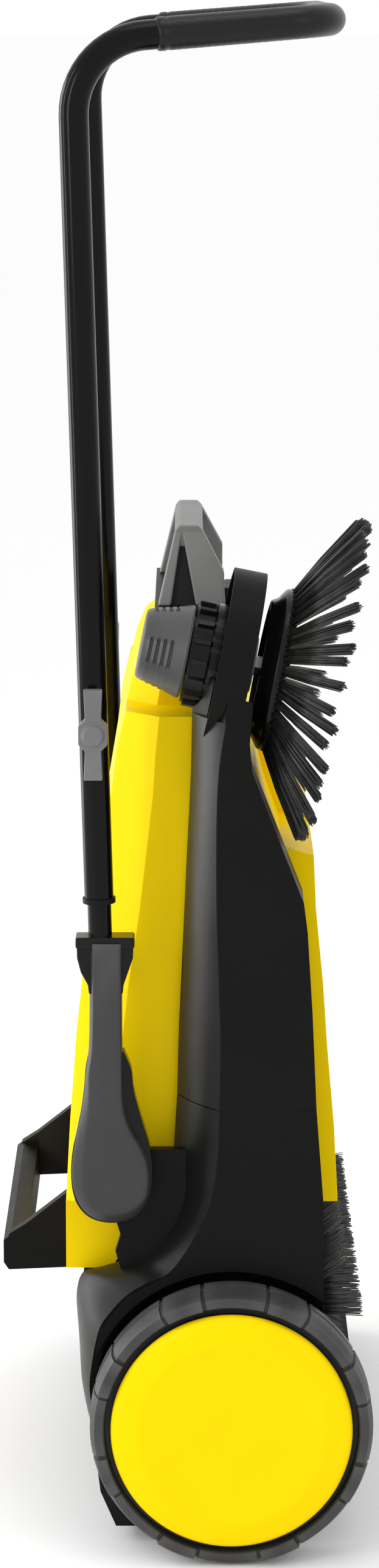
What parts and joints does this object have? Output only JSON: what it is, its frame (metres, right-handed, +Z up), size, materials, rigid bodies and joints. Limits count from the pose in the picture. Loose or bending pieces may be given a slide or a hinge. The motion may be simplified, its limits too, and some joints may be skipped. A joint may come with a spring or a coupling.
{
  "type": "walk-behind push sweeper",
  "caption": "Hand-pushed floor sweeper, standing upright: roller brush, side brush on one side, lift-out dirt container, large wheels and a folding push handle.",
  "frame": {"origin": "on the floor, under the middle of the standing machine's box", "axes": "+Z up, which is the front of the machine; +X the underside, which faces the floor when it sweeps; -Y the right side, with the side brush"},
  "size_m": [0.287, 0.6085, 1.1735],
  "materials": {
    "yellow_plastic": "moulded, satin gloss",
    "black_plastic": "fine moulded grain",
    "grey_plastic": "fine moulded grain",
    "light_grey_plastic": "fine moulded grain",
    "tyre_rubber": "moulded tread",
    "black_rubber": "smooth",
    "black_tube": "gloss black powder coat on steel tube",
    "grip_foam": "soft textured sleeve",
    "zinc_steel": "zinc plated",
    "nylon": "natural nylon",
    "bristle": "black nylon bristles"
  },
  "bodies": {
    "chassis": {"right_side_frame": "black_plastic", "left_side_frame": "black_plastic", "right_front_arm": "black_plastic", "left_front_arm": "black_plastic", "right_arm_cover": "black_plastic", "left_arm_cover": "black_plastic", "right_bearing_plate": "black_tube", "left_bearing_plate": "black_tube", "rear_housing": "black_plastic", "parking_feet": "black_rubber", "dust_lip": "black_rubber", "front_crossbar": "black_plastic", "carry_handle": "grey_plastic", "wheel_axles": "zinc_steel", "wheel_washers": "zinc_steel", "axle_clips": "zinc_steel", "roller_bearings": "nylon", "brush_carrier": "grey_plastic", "brush_collar": "black_plastic", "brush_belt": "black_rubber", "belt_guide": "nylon", "handle_pivot_pins": "zinc_steel", "pivot_clips": "zinc_steel"},
    "right_wheel": {"right_tyre": "tyre_rubber", "right_rim": "black_plastic", "right_wheel_cap": "yellow_plastic", "right_wheel_bush": "nylon", "right_drive_gear": "nylon"},
    "left_wheel": {"left_tyre": "tyre_rubber", "left_rim": "black_plastic", "left_wheel_cap": "yellow_plastic", "left_wheel_bush": "nylon", "left_drive_gear": "nylon"},
    "main_roller": {"roller_shaft": "zinc_steel", "roller_core": "black_plastic", "roller_bristles": "bristle", "roller_pinions": "nylon", "roller_pulley": "nylon", "roller_clips": "zinc_steel"},
    "side_brush_pulley": {"brush_pulley": "nylon"},
    "side_brush_carriage": {"brush_carriage": "black_plastic"},
    "side_brush": {"side_brush_hub": "black_plastic", "side_brush_shaft": "zinc_steel", "side_brush_screw": "zinc_steel", "side_brush_bristles": "bristle"},
    "brush_height_dial": {"height_knob": "grey_plastic", "knob_clip": "zinc_steel"},
    "push_handle_lower": {"right_pivot_arm": "grey_plastic", "left_pivot_arm": "grey_plastic", "lower_tubes": "black_tube"},
    "push_handle_upper": {"upper_tube": "black_tube", "handle_grip": "grip_foam", "tube_bushes": "black_plastic", "clamp_seats": "light_grey_plastic"},
    "right_clamp": {"right_clamp_knob": "light_grey_plastic"},
    "left_clamp": {"left_clamp_knob": "light_grey_plastic"},
    "container": {"dirt_container": "yellow_plastic", "container_handle": "black_plastic"}
  },
  "joints": [
    {"name": "right_wheel_spin", "type": "hinge", "parent": "chassis", "child": "right_wheel", "pos_m": [0.035, 0, 0.108], "axis": [0, 1, 0], "continuous": true},
    {"name": "left_wheel_spin", "type": "hinge", "parent": "chassis", "child": "left_wheel", "pos_m": [0.035, 0, 0.108], "axis": [0, 1, 0], "continuous": true},
    {"name": "roller_spin", "type": "hinge", "parent": "chassis", "child": "main_roller", "pos_m": [0.06509, 0, 0.17888], "axis": [0, 1, 0], "continuous": true},
    {"name": "brush_pulley_spin", "type": "hinge", "parent": "chassis", "child": "side_brush_pulley", "pos_m": [0.067, -0.182, 0.676], "axis": [0.9804, 0, -0.1968], "continuous": true},
    {"name": "brush_height_knob", "type": "hinge", "parent": "chassis", "child": "brush_height_dial", "pos_m": [0.067, -0.182, 0.676], "axis": [0.9804, 0, -0.1968], "range_deg": [0, 270]},
    {"name": "side_brush_lowering", "type": "slide", "parent": "chassis", "child": "side_brush_carriage", "axis": [0.9804, 0, -0.1968], "range_m": [0, 0.012]},
    {"name": "side_brush_spin", "type": "hinge", "parent": "side_brush_carriage", "child": "side_brush", "pos_m": [0.067, -0.182, 0.676], "axis": [0.9804, 0, -0.1968], "continuous": true},
    {"name": "handle_fold", "type": "hinge", "parent": "chassis", "child": "push_handle_lower", "pos_m": [-0.0557, 0, 0.308], "axis": [0, -1, 0], "range_deg": [0, 115]},
    {"name": "handle_height", "type": "slide", "parent": "push_handle_lower", "child": "push_handle_upper", "axis": [-0.0279, 0, 0.9996], "range_m": [0, 0.07]},
    {"name": "right_clamp_turn", "type": "hinge", "parent": "push_handle_upper", "child": "right_clamp", "pos_m": [-0.06888, -0.25, 0.63794], "axis": [0, -1, 0], "range_deg": [0, 180]},
    {"name": "left_clamp_turn", "type": "hinge", "parent": "push_handle_upper", "child": "left_clamp", "pos_m": [-0.06888, 0.25, 0.63794], "axis": [0, 1, 0], "range_deg": [0, 180]},
    {"name": "container_lift", "type": "slide", "parent": "chassis", "child": "container", "axis": [-1, 0, 0], "range_m": [0, 0.26]}
  ],
  "couplings": [
    {"joint": "left_wheel_spin", "follows": "right_wheel_spin", "ratio": 1},
    {"joint": "roller_spin", "follows": "right_wheel_spin", "ratio": -2.85},
    {"joint": "brush_pulley_spin", "follows": "right_wheel_spin", "ratio": -2.2167},
    {"joint": "side_brush_spin", "follows": "right_wheel_spin", "ratio": -2.2167},
    {"joint": "brush_height_knob", "follows": "side_brush_lowering", "rad_per_m": 392.69}
  ]
}
